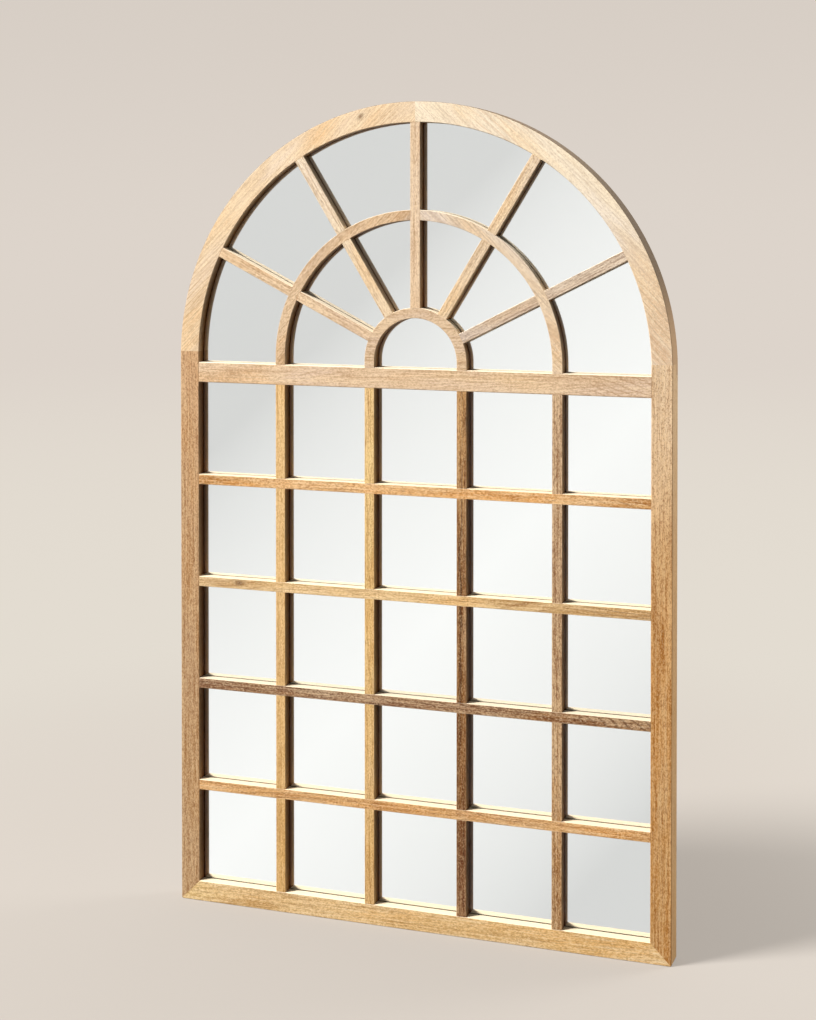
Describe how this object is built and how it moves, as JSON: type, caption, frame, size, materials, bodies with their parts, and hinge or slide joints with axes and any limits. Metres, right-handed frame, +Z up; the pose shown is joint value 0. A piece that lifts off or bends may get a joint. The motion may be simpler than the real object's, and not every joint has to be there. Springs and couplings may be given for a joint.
{
  "type": "arched window mirror",
  "caption": "Wooden window mirror with a round head: mitred frame, cross-halved glazing bars and a fan of spokes over one mirror sheet, back board and swinging ring hangers.",
  "frame": {"origin": "centre of the bottom rail's underside, at half the frame's depth", "axes": "+Z up along the frame's height, +Y from the front face towards the wall, +X to the right seen from the front"},
  "size_m": [1, 0.0506, 1.6],
  "materials": {
    "frame_wood": "solid hardwood in mixed tan and golden tones, clear satin finish",
    "arch_wood": "pale cream to golden hardwood with diagonal grain, clear satin finish",
    "bar_wood": "tan to golden hardwood, clear satin finish",
    "dark_bar_wood": "grey-brown to reddish brown hardwood, clear satin finish",
    "spline_wood": "plain sawn hardwood, unfinished",
    "mirror": "clear silvered glass",
    "fibreboard": "bare brown fibreboard",
    "steel": "zinc plated"
  },
  "bodies": {
    "frame": {"bottom_rail": "frame_wood", "left_stile": "frame_wood", "right_stile": "frame_wood", "transom": "frame_wood", "left_arch": "arch_wood", "right_arch": "arch_wood", "middle_arch_left": "arch_wood", "middle_arch_right": "arch_wood", "inner_arch": "arch_wood", "centre_spoke": "bar_wood", "upper_left_spoke": "bar_wood", "upper_right_spoke": "bar_wood", "lower_left_spoke": "bar_wood", "row_bar_1": "bar_wood", "row_bar_3": "bar_wood", "row_bar_4": "bar_wood", "column_bar_1": "bar_wood", "column_bar_2": "bar_wood", "lower_right_spoke": "dark_bar_wood", "row_bar_2": "dark_bar_wood", "column_bar_3": "dark_bar_wood", "column_bar_4": "dark_bar_wood", "mitre_splines": "spline_wood", "springing_splines": "spline_wood", "crown_spline": "spline_wood", "mirror_glass": "mirror", "back_board": "fibreboard", "board_tabs": "steel", "lap_screws": "steel", "strap_screws": "steel", "left_hanger_strap": "steel", "right_hanger_strap": "steel"},
    "left_ring": {"left_hanger_ring": "steel"},
    "right_ring": {"right_hanger_ring": "steel"}
  },
  "joints": [
    {"name": "left_ring_swing", "type": "hinge", "parent": "frame", "child": "left_ring", "pos_m": [-0.488, 0.02528, 1.084], "axis": [1, 0, 0], "range_deg": [0, 181]},
    {"name": "right_ring_swing", "type": "hinge", "parent": "frame", "child": "right_ring", "pos_m": [0.488, 0.02528, 1.084], "axis": [1, 0, 0], "range_deg": [0, 181]}
  ]
}
